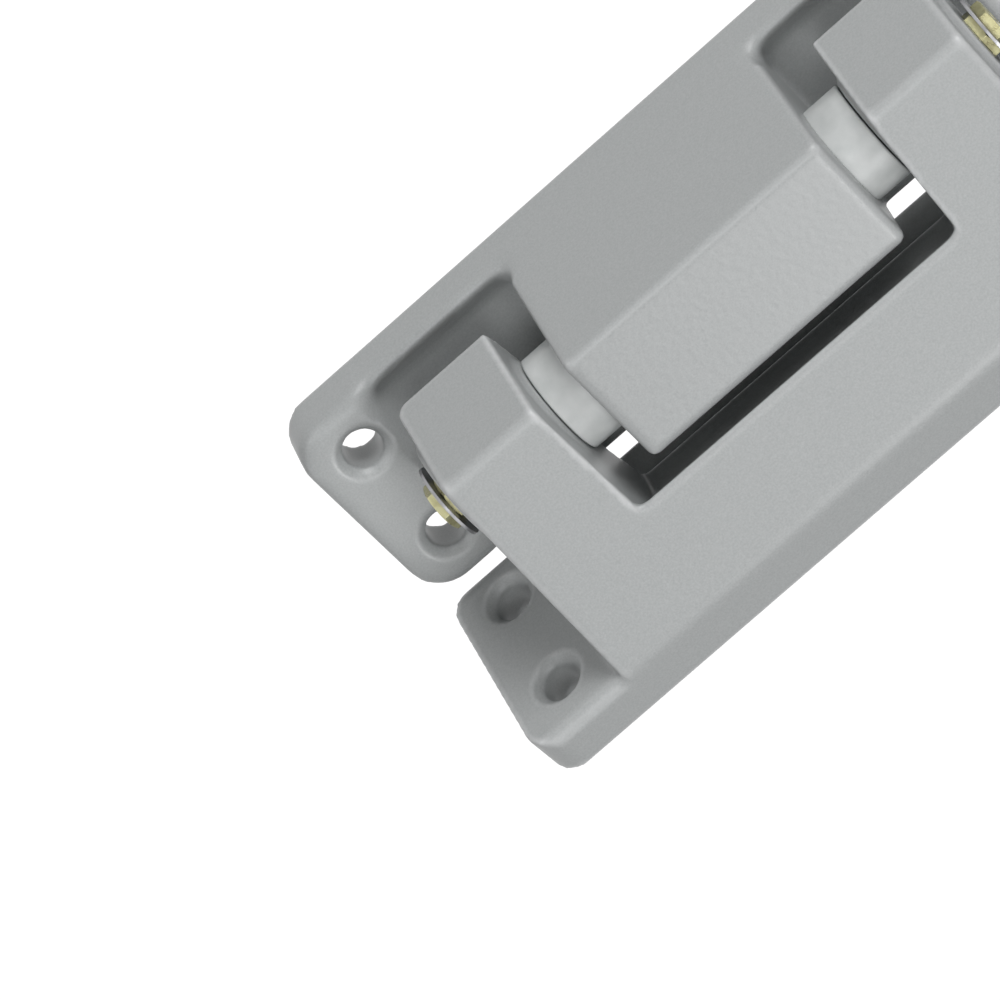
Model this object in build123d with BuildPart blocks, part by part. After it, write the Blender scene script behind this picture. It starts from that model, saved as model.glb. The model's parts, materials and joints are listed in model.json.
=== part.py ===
from build123d import *
import os
from math import cos, radians, sin, sqrt, tan

# Heavy duty surface hinge with two cast leaves, in millimetres.
# The hinge pin lies along X. The frame leaf lies on the plane Z = 0 with its
# outer edge towards +Y, and the door leaf is folded up on the -Y side.
# Section points are (across, height) from the pin's axis.

# Fold and pin
fold_angle = 74.9
pin_height = 29.2
pin_radius = 4.0
pin_chamfer = 0.5
stud_radius = 3.0
stud_chamfer = 0.4
running_clearance = 0.05
seat_gap = 0.1
body_gap = 0.3

# Frame leaf: central knuckle and its sloping face
knuckle_top = 18.8
knuckle_crease = 15.6
knuckle_far_edge = 15.1
knuckle_far_foot = 16.8
knuckle_edge_round = 2.1
knuckle_end_round = 1.8
frame_outer_foot = 26.5
frame_gap_edge = 25.8

# Frame leaf: screw pads, and the pockets that the fork arms turn in
frame_pad_thickness = 12.2
frame_pad_outer_edge = 24.8
frame_pad_corner = 9.0
frame_pad_edge_round = 1.6
pocket_floor_thickness = 5.9
pocket_rim_height = 10.2
pocket_rim_width = 3.2
pocket_gap_wall = 6.0
pocket_end_gap = 1.3
pocket_round = 1.8
pocket_rim_round = 2.3

# Door leaf: fork, sloping face and skirt
fork_top = 16.8
fork_tip = 14.3
fork_crease = 14.6
fork_crease_round = 3.0
fork_web_offset = 2.0
fork_arm_width = 25.4
fork_corner_round = 3.0
fork_edge_round = 1.2
slot_draft = 3.6
slot_radius = 29.7
bush_seat_radius = 12.3
boss_radius = 13.5
boss_height = 1.6
boss_edge = 0.5
door_outer_edge = 40.0
door_skirt_round = 9.0
door_gap_edge = 11.9
door_pad_height = 34.0
door_pad_thickness = 12.2
door_pad_outer_corner = 6.5
door_pad_gap_corner = 5.5
door_pad_outer_round = 3.5

# Screw holes, four in each leaf
wing_half_length = 95.6
wing_pad_length = 24.6
screw_hole_radius = 4.5
screw_rim_radius = 6.4
screw_edge_distance = 12.5
frame_screw_spacing = 27.5
frame_screw_offset = -0.6
door_screw_spacing = 28.1
door_screw_offset = 12.6

# Nylon bushes
bush_radius = 12.0
bush_recess = 1.8
bush_length = 8.8
bush_edge = 0.3
bush_spigot_radius = 8.5
bush_spigot_length = 14.0

# Nuts and washers on the pin's threaded ends
nut_across_flats = 10.0
nut_corner_height = 0.35
nut_corner_depth = 0.6
inner_nut_thickness = 1.9
outer_nut_thickness = 2.2
inner_nut_turn = 12.0
outer_nut_turn = 34.0
washer_radius = 9.0
washer_thickness = 0.7
washer_bore_radius = 3.2

# Planes of the two leaves
# frame_section and door_section hold (across, height) from the pin's axis.
pin_point = (0, 0, pin_height)
door_out = (0, -cos(radians(fold_angle)), sin(radians(fold_angle)))
door_up = (0, sin(radians(fold_angle)), cos(radians(fold_angle)))
frame_section = Plane(origin=pin_point, x_dir=(0, 1, 0), z_dir=(1, 0, 0))
door_section = Plane(origin=pin_point, x_dir=door_out, z_dir=(-1, 0, 0))
door_plan = Plane(origin=pin_point, x_dir=(-1, 0, 0), z_dir=door_up)
door_pad_plane = door_plan.offset(-door_pad_height)
frame_pad_plane = Plane.XY.offset(frame_pad_thickness)

sides = {"left": -1, "right": 1}
screw_spacing_length = 2 * (wing_half_length - screw_edge_distance)
fork_half_length = wing_half_length - wing_pad_length
slot_half_width_top = fork_half_length - fork_arm_width
bush_end = slot_half_width_top - bush_recess
knuckle_half_length = bush_end - bush_length
frame_pad_level = frame_pad_thickness - pin_height
pocket_floor_level = pocket_floor_thickness - pin_height
pocket_rim_level = pocket_rim_height - pin_height
pocket_start = knuckle_half_length - knuckle_end_round
pocket_end = fork_half_length + boss_height + pocket_end_gap
frame_slope = (frame_outer_foot - knuckle_crease) / (pin_height + knuckle_top)
slope_at_pad = frame_outer_foot - frame_slope * frame_pad_thickness
slope_at_rim = frame_outer_foot - frame_slope * pocket_rim_height
slot_half_width_floor = slot_half_width_top - tan(radians(slot_draft)) * (fork_top + slot_radius)
slot_plan = Plane(origin=pin_point, x_dir=(-1, 0, 0), z_dir=tuple(-c for c in door_out))
fork_under_depth = sqrt(fork_tip**2 - fork_web_offset**2)
door_back_height = door_pad_height + door_pad_thickness
door_up_axis = Axis(origin=pin_point, direction=door_up)
pin_axis = Axis(origin=pin_point, direction=(1, 0, 0))
bush_seat = bush_end + body_gap
boss_face = fork_half_length + boss_height
pin_shoulder = boss_face - seat_gap
washer_start = boss_face + inner_nut_thickness
outer_nut_start = washer_start + washer_thickness
stud_end = outer_nut_start + outer_nut_thickness - seat_gap
nut_bore = stud_radius + running_clearance
nut_corner_radius = nut_across_flats / 2 / cos(radians(30))


# Central knuckle of the frame leaf, one half, with soft edges at its end
with BuildPart() as knuckle:
    with BuildSketch(frame_section) as knuckle_profile:
        with BuildLine():
            Polyline(
                (-knuckle_far_foot, -pin_height),
                (frame_outer_foot, -pin_height),
                (knuckle_crease, knuckle_top),
                (-knuckle_far_edge, knuckle_top),
                close=True,
            )
        make_face()
        fillet(knuckle_profile.vertices().group_by(Axis.Y)[-1], knuckle_edge_round)
    extrude(amount=knuckle_half_length)
    end_edges = knuckle.faces().sort_by(Axis.X)[-1].edges().sort_by(Axis.Z)
    fillet(end_edges[1:], knuckle_end_round)

# Frame leaf, one half: screw pad, base plate, pocket for a fork arm, knuckle
with BuildPart() as frame_leaf:
    with BuildSketch(frame_section.offset(pocket_end)):
        with BuildLine():
            Polyline(
                (-frame_gap_edge, -pin_height),
                (frame_outer_foot, -pin_height),
                (frame_pad_outer_edge, frame_pad_level),
                (-frame_gap_edge, frame_pad_level),
                close=True,
            )
        make_face()
    extrude(amount=wing_half_length - pocket_end)
    pad_end = frame_leaf.faces().sort_by(Axis.X)[-1].edges().sort_by(Axis.Y)
    fillet([pad_end[0], pad_end[-1]], frame_pad_corner)
    pad_top = frame_leaf.faces().sort_by(Axis.Z)[-1]
    fillet(pad_top.edges(), frame_pad_edge_round)

    with BuildSketch(frame_section):
        with BuildLine():
            Polyline(
                (-frame_gap_edge, -pin_height),
                (frame_outer_foot, -pin_height),
                (slope_at_pad, frame_pad_level),
                (-frame_gap_edge, frame_pad_level),
                close=True,
            )
        make_face()
    extrude(amount=pocket_end)

    with BuildSketch(frame_section.offset(pocket_start)) as pocket:
        with BuildLine():
            Polyline(
                (-frame_gap_edge - 1, frame_pad_level + 1),
                (-frame_gap_edge - 1, pocket_rim_level),
                (-frame_gap_edge + pocket_gap_wall, pocket_rim_level),
                (-frame_gap_edge + pocket_gap_wall, pocket_floor_level),
                (slope_at_rim - pocket_rim_width, pocket_floor_level),
                (slope_at_rim - pocket_rim_width, pocket_rim_level),
                (frame_outer_foot + 1, pocket_rim_level),
                (frame_outer_foot + 1, frame_pad_level + 1),
                close=True,
            )
        make_face()
        fillet(pocket.vertices().group_by(Axis.Y)[1].sort_by(Axis.X)[1:3], pocket_rim_round)
        fillet(pocket.vertices().group_by(Axis.Y)[0], pocket_round)
    extrude(amount=pocket_end - pocket_start, mode=Mode.SUBTRACT)
    add(knuckle.part)

    with BuildSketch(frame_section):
        Circle(pin_radius + body_gap)
    extrude(amount=knuckle_half_length + 1, mode=Mode.SUBTRACT)
    with BuildSketch(frame_section.offset(knuckle_half_length + 1)):
        Circle(bush_spigot_radius + running_clearance)
    extrude(amount=-bush_spigot_length - body_gap - 1, mode=Mode.SUBTRACT)
    with Locations(frame_pad_plane):
        with Locations((screw_spacing_length / 2, frame_screw_offset)):
            with GridLocations(0, frame_screw_spacing, 1, 2):
                CounterSinkHole(screw_hole_radius, screw_rim_radius, counter_sink_angle=90)
    mirror(about=Plane.YZ)
frame_leaf.part.label = "frame_leaf"

# Space between the fork's arms, round at its floor, wider at its top
with BuildPart() as slot_space:
    with BuildSketch(door_section):
        Circle(slot_radius)
    extrude(amount=slot_half_width_top, both=True)
    with BuildSketch(slot_plan):
        with BuildLine():
            Polyline(
                (-slot_half_width_top, fork_top),
                (slot_half_width_top, fork_top),
                (slot_half_width_floor, -slot_radius),
                (-slot_half_width_floor, -slot_radius),
                close=True,
            )
        make_face()
    extrude(amount=2 * slot_radius, both=True, mode=Mode.INTERSECT)

# Base plate of the door leaf with its screw pad, one half, soft along its outer edge
with BuildPart() as door_plate:
    with BuildSketch(door_section) as plate_profile:
        with BuildLine():
            Polyline(
                (-door_gap_edge, -door_back_height),
                (door_outer_edge, -door_back_height),
                (door_outer_edge, -door_pad_height),
                (-door_gap_edge, -door_pad_height),
                close=True,
            )
        make_face()
        fillet(plate_profile.vertices().group_by(Axis.Y)[-1].sort_by(Axis.X)[-1], door_pad_outer_round)
    extrude(amount=wing_half_length)
    with BuildSketch(door_plan) as plate_plan:
        with BuildLine():
            Polyline(
                (0, -door_gap_edge),
                (wing_half_length, -door_gap_edge),
                (wing_half_length, door_outer_edge),
                (0, door_outer_edge),
                close=True,
            )
        make_face()
        fillet(plate_plan.vertices().group_by(Axis.X)[-1].sort_by(Axis.Y)[0], door_pad_gap_corner)
        fillet(plate_plan.vertices().group_by(Axis.X)[-1].sort_by(Axis.Y)[-1], door_pad_outer_corner)
    extrude(amount=-door_back_height, mode=Mode.INTERSECT)

# Door leaf, one half: fork arm, sloping face and skirt on the base plate
with BuildPart() as door_leaf:
    with BuildSketch(door_section) as fork_profile:
        with BuildLine():
            Polyline(
                (-fork_tip, 0),
                (-fork_tip, fork_top),
                (fork_crease, fork_top),
                (door_outer_edge, -door_pad_height),
                (door_outer_edge, -door_back_height),
                (fork_web_offset, -door_back_height),
                (fork_web_offset, -fork_under_depth),
            )
            RadiusArc((fork_web_offset, -fork_under_depth), (-fork_tip, 0), fork_tip)
        make_face()
        fillet(fork_profile.vertices().group_by(Axis.Y)[-1].sort_by(Axis.X)[-1], fork_crease_round)
        fillet(fork_profile.vertices().group_by(Axis.X)[-1].sort_by(Axis.Y)[-1], door_skirt_round)
    extrude(amount=fork_half_length)
    with BuildSketch(door_plan) as fork_plan:
        with BuildLine():
            Polyline(
                (0, -fork_tip),
                (fork_half_length, -fork_tip),
                (fork_half_length, door_outer_edge),
                (0, door_outer_edge),
                close=True,
            )
        make_face()
        fillet(fork_plan.vertices().group_by(Axis.X)[-1].sort_by(Axis.Y)[0], fork_corner_round)
    extrude(amount=door_back_height, both=True, mode=Mode.INTERSECT)
    arm_end = door_leaf.faces().sort_by(Axis.X)[0]
    fillet(arm_end.edges().sort_by(door_up_axis)[-1], fork_edge_round)
    with BuildSketch(door_section.offset(fork_half_length - fork_corner_round)):
        Circle(boss_radius)
    extrude(amount=fork_corner_round + boss_height)
    chamfer(door_leaf.faces().sort_by(Axis.X)[0].edges(), boss_edge)
    add(slot_space.part, mode=Mode.SUBTRACT)
    add(door_plate.part)

    with BuildSketch(door_section.offset(bush_seat)):
        Circle(bush_seat_radius)
    extrude(amount=slot_half_width_top - bush_seat)
    with BuildSketch(door_section):
        Circle(pin_radius + running_clearance)
    extrude(amount=wing_half_length, mode=Mode.SUBTRACT)
    with Locations(door_pad_plane):
        with Locations((screw_spacing_length / 2, door_screw_offset)):
            with GridLocations(0, door_screw_spacing, 1, 2):
                CounterSinkHole(screw_hole_radius, screw_rim_radius, counter_sink_angle=90)
    mirror(about=Plane.YZ)
door_leaf.part.label = "door_leaf"

# Hinge pin, with a shoulder and a threaded end at each side
with BuildPart() as hinge_pin:
    with BuildSketch(Plane(origin=pin_point, x_dir=(1, 0, 0), z_dir=(0, -1, 0))):
        with BuildLine():
            Polyline(
                (0, 0),
                (stud_end, 0),
                (stud_end, stud_radius - stud_chamfer),
                (stud_end - stud_chamfer, stud_radius),
                (pin_shoulder, stud_radius),
                (pin_shoulder, pin_radius - pin_chamfer),
                (pin_shoulder - pin_chamfer, pin_radius),
                (0, pin_radius),
                close=True,
            )
        make_face()
    revolve(axis=pin_axis)
    mirror(about=Plane.YZ)
hinge_pin.part.label = "hinge_pin"

leaves_and_pin = [frame_leaf.part, door_leaf.part, hinge_pin.part]
end_pieces = []
for side_name, side in sides.items():
    end_section = Plane(origin=pin_point, x_dir=(0, 1, 0), z_dir=(side, 0, 0))

    # Nylon bush: a collar between knuckle and fork, a spigot in the knuckle
    with BuildPart() as bush:
        with BuildSketch(end_section.offset(knuckle_half_length)):
            Circle(bush_radius)
        extrude(amount=bush_length)
        chamfer(bush.faces().sort_by(Axis.X)[-1 if side > 0 else 0].edges(), bush_edge)
        with BuildSketch(end_section.offset(knuckle_half_length - bush_spigot_length)):
            Circle(bush_spigot_radius)
        extrude(amount=bush_spigot_length)
        with BuildSketch(end_section):
            Circle(pin_radius + running_clearance)
        extrude(amount=2 * knuckle_half_length, mode=Mode.SUBTRACT)
    bush.part.label = f"bush_{side_name}"

    # Thin inner nut, wide washer and outer nut, one after another
    pieces = []
    for name, thickness, start, turn in (
        ("inner_nut", inner_nut_thickness, boss_face, inner_nut_turn),
        ("washer", washer_thickness, washer_start, 0),
        ("outer_nut", outer_nut_thickness, outer_nut_start, outer_nut_turn),
    ):
        with BuildPart() as piece:
            if name == "washer":
                with BuildSketch(end_section.offset(start)):
                    Circle(washer_radius)
                    Circle(washer_bore_radius, mode=Mode.SUBTRACT)
                extrude(amount=thickness)
            else:
                with BuildSketch(end_section.offset(start)):
                    Circle(nut_corner_radius)
                extrude(amount=thickness)
                outer_rim = piece.faces().sort_by(Axis.X)[-1 if side > 0 else 0].edges()
                chamfer(outer_rim, nut_corner_height, nut_corner_depth)
                with BuildSketch(end_section.offset(start)):
                    RegularPolygon(nut_across_flats / 2, 6, major_radius=False, rotation=turn)
                    Circle(nut_bore, mode=Mode.SUBTRACT)
                extrude(amount=thickness, mode=Mode.INTERSECT)
        piece.part.label = f"{name}_{side_name}"
        pieces.append(piece.part)
    end_pieces += [bush.part, *pieces]

os.makedirs("parts", exist_ok=True)
for part in leaves_and_pin + end_pieces:
    export_step(part, f"parts/{part.label}.step")
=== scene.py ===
"""Finishes, softened castings and photograph view of the cast surface hinge.

Everything is in metres, in the frame of the CAD model.
"""

import json
from math import cos, radians, sin

import bmesh
import bpy
from mathutils import Matrix, Vector


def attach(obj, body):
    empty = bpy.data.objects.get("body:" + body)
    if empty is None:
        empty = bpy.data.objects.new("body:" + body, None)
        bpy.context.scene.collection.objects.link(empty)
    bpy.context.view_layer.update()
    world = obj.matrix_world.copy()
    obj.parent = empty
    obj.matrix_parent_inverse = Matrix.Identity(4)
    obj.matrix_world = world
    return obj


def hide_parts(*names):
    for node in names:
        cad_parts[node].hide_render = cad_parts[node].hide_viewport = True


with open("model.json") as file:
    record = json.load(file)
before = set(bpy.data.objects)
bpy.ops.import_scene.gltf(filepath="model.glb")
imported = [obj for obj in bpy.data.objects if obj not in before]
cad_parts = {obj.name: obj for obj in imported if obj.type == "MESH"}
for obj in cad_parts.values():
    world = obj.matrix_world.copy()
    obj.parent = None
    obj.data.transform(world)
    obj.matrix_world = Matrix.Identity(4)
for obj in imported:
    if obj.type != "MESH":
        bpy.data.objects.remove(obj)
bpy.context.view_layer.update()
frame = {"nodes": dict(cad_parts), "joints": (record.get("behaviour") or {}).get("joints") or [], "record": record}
nodes = frame["nodes"]

MM = 0.001
PIN_AXIS = Vector(frame["joints"][0]["pos_m"])

# The view was fitted to the leaves' edges and holes in the photograph.
FRAME_TILT = radians(27.87)
VIEW_SIDE_TURN = radians(9.17)
PIN_SLANT = radians(41.20)
PIXELS_PER_MM = 4.8
FOCAL_PIXELS = 5747.96
PHOTO_PIXELS = 1000
SENSOR_MM = 36.0
NEAR_CLIP = 0.05
FAR_CLIP = 20

# Places in the photograph when it is turned to lay the pin level, in pixels
PHOTO_CENTRE_ALONG = 47.606
PHOTO_CENTRE_ACROSS = 705.497
PIN_MIDDLE_ALONG = 362.894
PIN_MIDDLE_ACROSS = 672.106

# Most values of a noise lie between these two.
NOISE_LOW = 0.3
NOISE_HIGH = 0.7
SOFT_EDGE_SAMPLES = 6

# Powder coat: two greys of the speckle, and the paler grey painted on edges as a highlight
COAT_DARK = (0.378, 0.392, 0.393)
COAT_LIGHT = (0.442, 0.456, 0.456)
COAT_EDGE_HIGHLIGHT = (0.68, 0.69, 0.695)
COAT_EDGE_RANGE = (0.02, 0.14)
COAT_PEEL_DEPTH = 0.04 * MM
COAT_SPECKLE_DEPTH = 0.012 * MM

# Even grids of the two castings, and how often each is smoothed all over
MERGE_DISTANCE = 0.002 * MM
FRAME_LEAF_GRID = 0.65 * MM
DOOR_LEAF_GRID = 0.72 * MM
FRAME_LEAF_PASSES = 2
DOOR_LEAF_PASSES = 1
SMOOTH_FACTOR = 0.5

# How strongly each casting's edges get the painted highlight, and how often that is blurred
FRAME_LEAF_EDGE_HIGHLIGHT = 0.55
DOOR_LEAF_EDGE_HIGHLIGHT = 1.0
EDGE_BLUR_PASSES = 2

# The frame leaf's four screw holes are smoothed less and keep their chamfered rims.
SCREW_ALONG = 83.1 * MM
SCREW_ROWS = (13.15 * MM, -14.35 * MM)
SCREW_HOLES = [(x, y) for x in (-SCREW_ALONG, SCREW_ALONG) for y in SCREW_ROWS]
SCREW_HOLE_REACH = 7.3 * MM
SCREW_HOLE_PASSES = 1

# Lines to soften at the frame leaf's right-hand end, corner by corner in millimetres.
# A pocket's rim goes from the knuckle to the far end and along the wall at the gap.
POCKET_RIM = ((35.0, 21.5, 9.5), (73.9, 21.5, 9.5), (73.9, -20.0, 9.5))
# A pad's long upper edge goes from beside the pocket to the outer corner.
PAD_LONG_EDGE = ((66.0, 24.8, 12.2), (86.5, 24.8, 12.2), (92.5, 21.5, 12.2))
# Its end edge goes on from that corner, along the pad's end and round to the gap.
PAD_END_EDGE = (
    (92.5, 21.5, 12.2),
    (94.0, 15.0, 12.2),
    (94.0, -17.0, 12.2),
    (91.5, -22.0, 12.2),
    (86.0, -24.6, 12.2),
    (76.0, -24.6, 12.2),
)

# Each round of smoothing: how near the line a point lies, and how many passes it gets
POCKET_RIM_ROUNDS = ((7.0 * MM, 24), (5.5 * MM, 30), (4.0 * MM, 30))
PAD_LONG_EDGE_ROUNDS = ((5.0 * MM, 20), (3.5 * MM, 30))
PAD_END_EDGE_ROUNDS = ((2.6 * MM, 8),)
SLOT_EDGE_ROUNDS = ((3.2 * MM, 10), (2.2 * MM, 14))

# The pocket rims are softened only inside the leaf's outer edge, and the pads' edges
# only on the leaf's upper side. A narrow band along the outer edge is smoothed last.
OUTER_EDGE_START = 24.6 * MM
UPPER_SIDE_START = 5.0 * MM
OUTER_BAND = (23.2 * MM, 26.0 * MM)
OUTER_BAND_PASSES = 4

# The door leaf's slot ends in a wall that is round about the pin. Its upper edge is
# read from the points near that radius in the middle of the slot.
SLOT_WALL_RADIUS = 29.7 * MM
SLOT_WALL_TOLERANCE = 0.3 * MM
SLOT_WALL_SAMPLE = 30.0 * MM
SLOT_EDGE_ALONG = 41.0 * MM

# Studio
FLOOR_DROP = 0.30
FLOOR_SIZE = 6.0
FLOOR_GREY = (0.2, 0.2, 0.2, 1)
FLOOR_ROUGHNESS = 0.9
FLOOR_GLOW = 0.94
AMBIENT = 0.12
BACKDROP_WHITE = 1.0
SOFTBOX_DISTANCE = 1.1
# Name, direction from the pin, width in metres, watts
SOFTBOXES = (
    ("door_side_softbox", (0.12, -0.47, 0.87), 0.4, 5.0),
    ("frame_side_softbox", (0.5, 0.85, 0.3), 0.6, 7.0),
    ("top_softbox", (-0.1, 0.2, 0.97), 0.4, 2.1),
    ("end_softbox", (-0.75, 0.75, 0.5), 0.6, 2.0),
)


# Shader helpers
class NodeTree:
    """Short calls for making and joining the nodes of one tree."""

    def node(self, kind, **settings):
        made = self.tree.nodes.new(kind)
        for name, value in settings.items():
            setattr(made, name, value)
        return made

    def link(self, source, target):
        self.tree.links.new(source, target)

    def between(self, value, low, high, start=0.0, end=1.0):
        """A value from low to high while the input goes from start to end."""
        change = self.node("ShaderNodeMapRange")
        change.inputs["From Min"].default_value = start
        change.inputs["From Max"].default_value = end
        change.inputs["To Min"].default_value = low
        change.inputs["To Max"].default_value = high
        self.link(value, change.inputs["Value"])
        return change.outputs["Result"]

    def seen_directly(self):
        """1 for rays of the camera and for mirror and glass rays, else 0."""
        path = self.node("ShaderNodeLightPath")
        first = self.node("ShaderNodeMath", operation="MAXIMUM")
        second = self.node("ShaderNodeMath", operation="MAXIMUM")
        self.link(path.outputs["Is Camera Ray"], first.inputs[0])
        self.link(path.outputs["Is Transmission Ray"], first.inputs[1])
        self.link(first.outputs["Value"], second.inputs[0])
        self.link(path.outputs["Is Glossy Ray"], second.inputs[1])
        return second.outputs["Value"]


class World(NodeTree):
    """The world's node tree."""

    def __init__(self):
        world = bpy.context.scene.world or bpy.data.worlds.new("studio")
        bpy.context.scene.world = world
        world.use_nodes = True
        self.tree = world.node_tree
        self.background = self.tree.nodes["Background"]


class Shader(NodeTree):
    """One material's node tree."""

    def __init__(self, name):
        self.material = bpy.data.materials.new(name)
        self.material.use_nodes = True
        self.tree = self.material.node_tree
        self.surface = self.tree.nodes["Principled BSDF"]

    def noise(self, scale, detail, stretch=(1, 1, 1)):
        """A noise fixed to the piece, drawn out along the axes with a small stretch."""
        place = self.node("ShaderNodeTexCoord")
        mapping = self.node("ShaderNodeMapping")
        mapping.inputs["Scale"].default_value = stretch
        texture = self.node("ShaderNodeTexNoise")
        texture.inputs["Scale"].default_value = scale
        texture.inputs["Detail"].default_value = detail
        self.link(place.outputs["Object"], mapping.inputs["Vector"])
        self.link(mapping.outputs["Vector"], texture.inputs["Vector"])
        return texture.outputs["Fac"]

    def ramp(self, value, *stops):
        """Colours that follow a noise through some stops, each a position and a colour."""
        ramp = self.node("ShaderNodeValToRGB")
        elements = ramp.color_ramp.elements
        while len(elements) < len(stops):
            elements.new(0.5)
        for element, (position, colour) in zip(elements, stops):
            element.position = position
            element.color = (*colour, 1)
        self.link(value, ramp.inputs["Fac"])
        return ramp.outputs["Color"]

    def mix(self, share, colour, other):
        """Blends from one colour's pattern to another plain colour."""
        blend = self.node("ShaderNodeMix", data_type="RGBA")
        blend.inputs["B"].default_value = (*other, 1)
        self.link(share, blend.inputs["Factor"])
        self.link(colour, blend.inputs["A"])
        return blend.outputs["Result"]

    def spread(self, value, low, high):
        """Roughness that follows a noise between two values."""
        return self.between(value, low, high, start=NOISE_LOW, end=NOISE_HIGH)

    def bump(self, height, distance, normal):
        bump = self.node("ShaderNodeBump")
        bump.inputs["Strength"].default_value = 1.0
        bump.inputs["Distance"].default_value = distance
        self.link(height, bump.inputs["Height"])
        self.link(normal, bump.inputs["Normal"])
        return bump.outputs["Normal"]

    def soft_edges(self, radius):
        bevel = self.node("ShaderNodeBevel", samples=SOFT_EDGE_SAMPLES)
        bevel.inputs["Radius"].default_value = radius
        return bevel.outputs["Normal"]

    def finish(self, colour, roughness, normal, metallic=0.0):
        self.link(colour, self.surface.inputs["Base Color"])
        self.link(roughness, self.surface.inputs["Roughness"])
        self.link(normal, self.surface.inputs["Normal"])
        self.surface.inputs["Metallic"].default_value = metallic
        return self.material


# Finishes of the hinge
def powder_coat():
    """Light grey satin powder coat: fine speckle, slow orange peel, and a painted highlight on edges."""
    coat = Shader("grey_powder_coat")
    speckle = coat.noise(scale=2300, detail=3)
    peel = coat.noise(scale=620, detail=1)
    flat = coat.ramp(speckle, (NOISE_LOW, COAT_DARK), (NOISE_HIGH, COAT_LIGHT))
    edge = coat.node("ShaderNodeAttribute", attribute_name="edge").outputs["Fac"]
    start, end = COAT_EDGE_RANGE
    # Points that stand out are painted paler: a painted highlight along convex edges.
    edge_highlight = coat.between(edge, low=0.0, high=1.0, start=start, end=end)
    colour = coat.mix(edge_highlight, flat, COAT_EDGE_HIGHLIGHT)
    normal = coat.bump(peel, COAT_PEEL_DEPTH, coat.soft_edges(0.5 * MM))
    normal = coat.bump(speckle, COAT_SPECKLE_DEPTH, normal)
    return coat.finish(colour, coat.spread(speckle, 0.3, 0.42), normal)


def white_nylon():
    """Natural nylon of the bushes, a little waxy, with turning marks round the pin."""
    nylon = Shader("white_nylon")
    cloud = nylon.noise(scale=260, detail=3)
    rings = nylon.noise(scale=900, detail=1, stretch=(1, 0.02, 0.02))
    dark = (0.54, 0.56, 0.555)
    light = (0.62, 0.635, 0.63)
    colour = nylon.ramp(cloud, (NOISE_LOW, dark), (NOISE_HIGH, light))
    normal = nylon.bump(rings, 0.02 * MM, nylon.soft_edges(0.3 * MM))
    return nylon.finish(colour, nylon.spread(cloud, 0.32, 0.44), normal)


def yellow_zinc():
    """Yellow passivated zinc plate on the nuts, from straw to a greenish tint."""
    zinc = Shader("yellow_zinc")
    tint = zinc.noise(scale=420, detail=3)
    grain = zinc.noise(scale=3200, detail=2)
    colour = zinc.ramp(
        tint,
        (NOISE_LOW, (0.33, 0.31, 0.17)),
        (0.55, (0.47, 0.45, 0.26)),
        (0.75, (0.37, 0.38, 0.25)),
    )
    normal = zinc.bump(grain, 0.015 * MM, zinc.soft_edges(0.2 * MM))
    return zinc.finish(colour, zinc.spread(tint, 0.26, 0.42), normal, metallic=0.85)


def plated_steel(name, light, dark):
    """Plain plated steel, with fine rings left by turning or stamping."""
    steel = Shader(name)
    rings = steel.noise(scale=1500, detail=2, stretch=(1, 0.05, 0.05))
    stain = steel.noise(scale=300, detail=3)
    colour = steel.ramp(stain, (NOISE_LOW, dark), (NOISE_HIGH, light))
    normal = steel.bump(rings, 0.01 * MM, steel.soft_edges(0.15 * MM))
    return steel.finish(colour, steel.spread(stain, 0.28, 0.44), normal, metallic=0.9)


FINISHES = {
    "grey_powder_coat": powder_coat(),
    "white_nylon": white_nylon(),
    "yellow_zinc": yellow_zinc(),
    "washer_steel": plated_steel("washer_steel", (0.34, 0.34, 0.35), (0.22, 0.22, 0.23)),
    "pin_steel": plated_steel("pin_steel", (0.62, 0.61, 0.6), (0.48, 0.48, 0.48)),
}


def dress_nodes():
    """Gives each solid of the hinge the finish that the record names for it."""
    for row in frame["record"]["subparts"]:
        mesh = nodes[row["node"]].data
        mesh.materials.clear()
        mesh.materials.append(FINISHES[row["material_slot"]])


# Softened castings
def both_ends(corners):
    """Straight runs between corners, at the left and the right end of the hinge."""
    lines = []
    for side in (-1, 1):
        places = [Vector((side * x, y, z)) * MM for x, y, z in corners]
        lines += zip(places, places[1:])
    return lines


def distance_to_line(point, start, end):
    run = end - start
    share = max(0.0, min(1.0, (point - start).dot(run) / run.length_squared))
    return (point - start - run * share).length


def by_screw_hole(point):
    return any(
        (point.x - x) ** 2 + (point.y - y) ** 2 < SCREW_HOLE_REACH**2 for x, y in SCREW_HOLES
    )


def even_copy(node, name, voxel):
    """A copy of one casting with an even mesh, fine enough to round its edges."""
    piece = bpy.data.objects.new(name, nodes[node].data.copy())
    bpy.context.scene.collection.objects.link(piece)
    shell = bmesh.new()
    shell.from_mesh(piece.data)
    bmesh.ops.remove_doubles(shell, verts=shell.verts, dist=MERGE_DISTANCE)
    shell.to_mesh(piece.data)
    shell.free()
    grid = piece.modifiers.new("even_grid", "REMESH")
    grid.mode = "VOXEL"
    grid.voxel_size = voxel
    view = bpy.context.evaluated_depsgraph_get()
    even = bpy.data.meshes.new_from_object(piece.evaluated_get(view))
    piece.modifiers.clear()
    piece.data = even
    return piece


def smooth(shell, points, passes):
    for _ in range(passes):
        bmesh.ops.smooth_vert(
            shell,
            verts=points,
            factor=SMOOTH_FACTOR,
            use_axis_x=True,
            use_axis_y=True,
            use_axis_z=True,
        )


def soften(shell, points, lines, rounds):
    """Smooths those points that lie near some lines, away from the screw holes."""
    nearness = {
        point: min(distance_to_line(point.co, start, end) for start, end in lines)
        for point in points
        if not by_screw_hole(point.co)
    }
    for reach, passes in rounds:
        smooth(shell, [point for point, gap in nearness.items() if gap < reach], passes)


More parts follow.
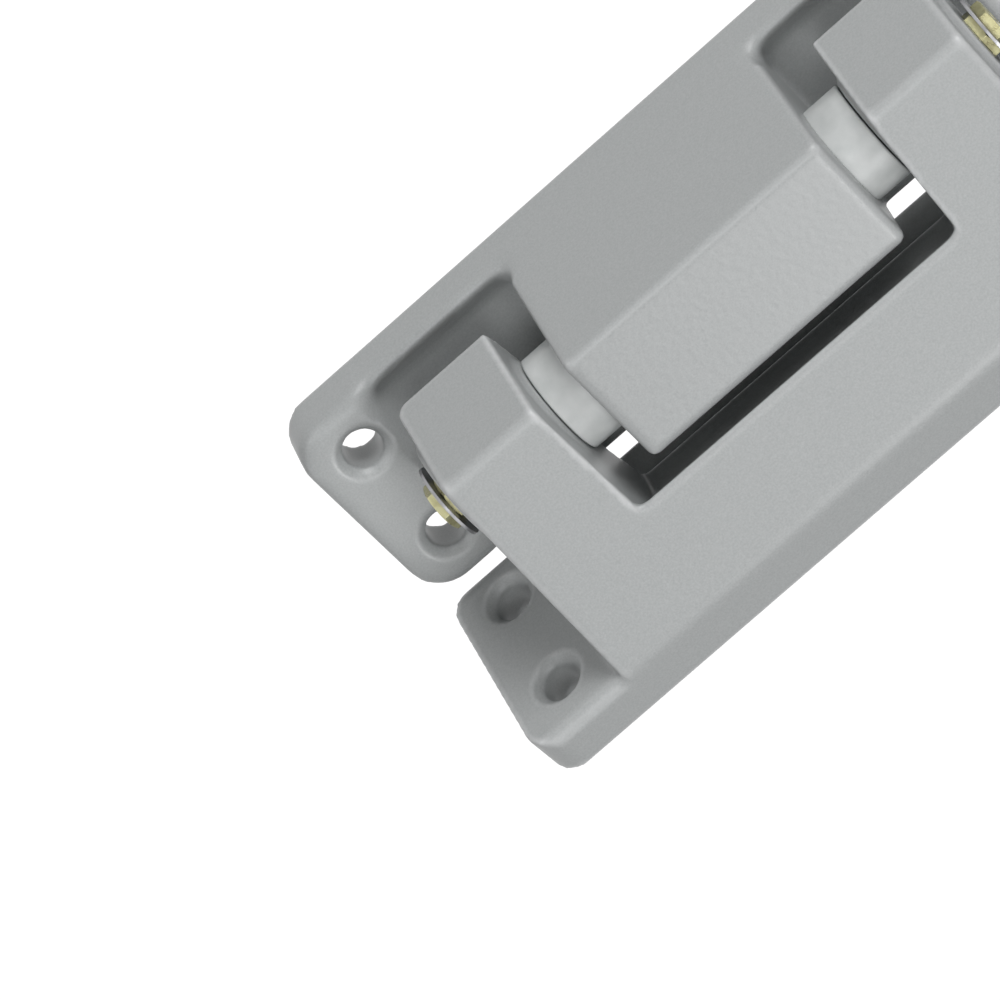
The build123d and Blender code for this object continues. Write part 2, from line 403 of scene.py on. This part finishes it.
def mark_edges(shell, voxel, highlight_gain):
    """Keeps on each point how far it stands out from its neighbours, for the coat's painted edge highlight."""
    shell.normal_update()
    edge = shell.verts.layers.float.new("edge")
    for point in shell.verts:
        around = [side.other_vert(point).co for side in point.link_edges]
        middle = sum(around, Vector()) / len(around)
        point[edge] = (point.co - middle).dot(point.normal) / voxel * highlight_gain
    for _ in range(EDGE_BLUR_PASSES):
        level = {}
        for point in shell.verts:
            around = [side.other_vert(point)[edge] for side in point.link_edges]
            level[point] = sum(around) / len(around)
        for point, value in level.items():
            point[edge] = 0.5 * (point[edge] + value)


def coat_casting(casting, shell, voxel, highlight_gain, node, body):
    """Powder coats a softened casting, which then stands for its solid on one body."""
    mark_edges(shell, voxel, highlight_gain)
    shell.to_mesh(casting.data)
    shell.free()
    casting.data.shade_smooth()
    casting.data.materials.clear()
    casting.data.materials.append(FINISHES["grey_powder_coat"])
    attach(casting, body)
    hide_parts(node)


def cast_frame_leaf():
    """The frame leaf with edges softened as cast, and pockets that blend into the pads."""
    casting = even_copy("frame_leaf", "frame_leaf_casting", FRAME_LEAF_GRID)
    shell = bmesh.new()
    shell.from_mesh(casting.data)
    away = [point for point in shell.verts if not by_screw_hole(point.co)]
    smooth(shell, away, FRAME_LEAF_PASSES)
    near = [point for point in shell.verts if by_screw_hole(point.co)]
    smooth(shell, near, SCREW_HOLE_PASSES)
    inner = [point for point in shell.verts if point.co.y < OUTER_EDGE_START]
    upper = [point for point in shell.verts if point.co.z > UPPER_SIDE_START]
    soften(shell, inner, both_ends(POCKET_RIM), POCKET_RIM_ROUNDS)
    soften(shell, upper, both_ends(PAD_LONG_EDGE), PAD_LONG_EDGE_ROUNDS)
    soften(shell, upper, both_ends(PAD_END_EDGE), PAD_END_EDGE_ROUNDS)
    start, end = OUTER_BAND
    band = [point for point in upper if start < point.co.y < end]
    smooth(shell, band, OUTER_BAND_PASSES)
    coat_casting(
        casting, shell, FRAME_LEAF_GRID, FRAME_LEAF_EDGE_HIGHLIGHT, node="frame_leaf", body="frame"
    )


def slot_edge(shell):
    """The slot's long upper edge, where its round end wall meets the main face."""
    wall = [
        point.co
        for point in shell.verts
        if abs((point.co - PIN_AXIS).yz.length - SLOT_WALL_RADIUS) < SLOT_WALL_TOLERANCE
        and abs(point.co.x) < SLOT_WALL_SAMPLE
    ]
    top = max(wall, key=lambda place: place.yz.dot(LENS.yz))
    return [Vector((side * SLOT_EDGE_ALONG, top.y, top.z)) for side in (-1, 1)]


def cast_door_leaf():
    """The forked door leaf with its edges softened as cast."""
    casting = even_copy("door_leaf", "door_leaf_casting", DOOR_LEAF_GRID)
    shell = bmesh.new()
    shell.from_mesh(casting.data)
    smooth(shell, shell.verts, DOOR_LEAF_PASSES)
    soften(shell, shell.verts, [slot_edge(shell)], SLOT_EDGE_ROUNDS)
    coat_casting(
        casting, shell, DOOR_LEAF_GRID, DOOR_LEAF_EDGE_HIGHLIGHT, node="door_leaf", body="door"
    )


# Studio and camera
def pale_floor():
    """Plain floor well below the hinge, grey for the lights but white to the camera."""
    bpy.ops.mesh.primitive_plane_add(size=FLOOR_SIZE, location=(0, 0, -FLOOR_DROP))
    floor = bpy.context.object
    floor.name = "studio_floor"
    paint = Shader("studio_white")
    paint.surface.inputs["Base Color"].default_value = FLOOR_GREY
    paint.surface.inputs["Roughness"].default_value = FLOOR_ROUGHNESS
    glow = paint.node("ShaderNodeEmission")
    strength = paint.between(paint.seen_directly(), low=0.0, high=FLOOR_GLOW)
    paint.link(strength, glow.inputs["Strength"])
    both = paint.node("ShaderNodeAddShader")
    paint.link(paint.surface.outputs["BSDF"], both.inputs[0])
    paint.link(glow.outputs["Emission"], both.inputs[1])
    output = paint.tree.nodes["Material Output"]
    paint.link(both.outputs["Shader"], output.inputs["Surface"])
    floor.data.materials.append(paint.material)


def white_world():
    """White round the hinge for the camera, and dim for the light that fills shadows."""
    world = World()
    strength = world.between(world.seen_directly(), low=AMBIENT, high=BACKDROP_WHITE)
    world.link(strength, world.background.inputs["Strength"])
    world.background.inputs["Color"].default_value = (1, 1, 1, 1)


def softbox(name, direction, width, watts):
    """Square soft light that faces the hinge from one direction."""
    lamp = bpy.data.lights.new(name, "AREA")
    lamp.shape = "SQUARE"
    lamp.size = width
    lamp.energy = watts
    box = bpy.data.objects.new(name, lamp)
    bpy.context.scene.collection.objects.link(box)
    box.location = PIN_AXIS + direction.normalized() * SOFTBOX_DISTANCE
    box.rotation_euler = (-direction).to_track_quat("-Z", "Y").to_euler()


def view_axes():
    """Axes of the photograph: right, up and towards the lens, along and across the pin."""
    toward = Vector((0, sin(FRAME_TILT), cos(FRAME_TILT)))
    across = Vector((0, -cos(FRAME_TILT), sin(FRAME_TILT)))
    along = Vector((cos(VIEW_SIDE_TURN), 0, 0)) - sin(VIEW_SIDE_TURN) * toward
    lens = Vector((sin(VIEW_SIDE_TURN), 0, 0)) + cos(VIEW_SIDE_TURN) * toward
    right = cos(PIN_SLANT) * along + sin(PIN_SLANT) * across
    up = sin(PIN_SLANT) * along - cos(PIN_SLANT) * across
    return right, up, lens, along, across


RIGHT, UP, LENS, ALONG, ACROSS = view_axes()


def photograph_camera():
    """The camera at the photograph's angle and distance."""
    lens = bpy.data.cameras.new("photograph_camera")
    lens.sensor_width = SENSOR_MM
    lens.lens = FOCAL_PIXELS / PHOTO_PIXELS * SENSOR_MM
    lens.clip_start = NEAR_CLIP
    lens.clip_end = FAR_CLIP
    camera = bpy.data.objects.new("photograph_camera", lens)
    bpy.context.scene.collection.objects.link(camera)
    along = ALONG * (PHOTO_CENTRE_ALONG - PIN_MIDDLE_ALONG)
    across = ACROSS * (PHOTO_CENTRE_ACROSS - PIN_MIDDLE_ACROSS)
    reach = along + across + LENS * FOCAL_PIXELS
    place = PIN_AXIS + reach / PIXELS_PER_MM * MM
    turn = Matrix((RIGHT, UP, LENS)).transposed().to_4x4()
    camera.matrix_world = Matrix.Translation(place) @ turn
    bpy.context.scene.camera = camera


dress_nodes()
cast_frame_leaf()
cast_door_leaf()
pale_floor()
white_world()
for name, direction, width, watts in SOFTBOXES:
    softbox(name, Vector(direction), width, watts)
photograph_camera()
bpy.context.scene.view_settings.view_transform = "Standard"
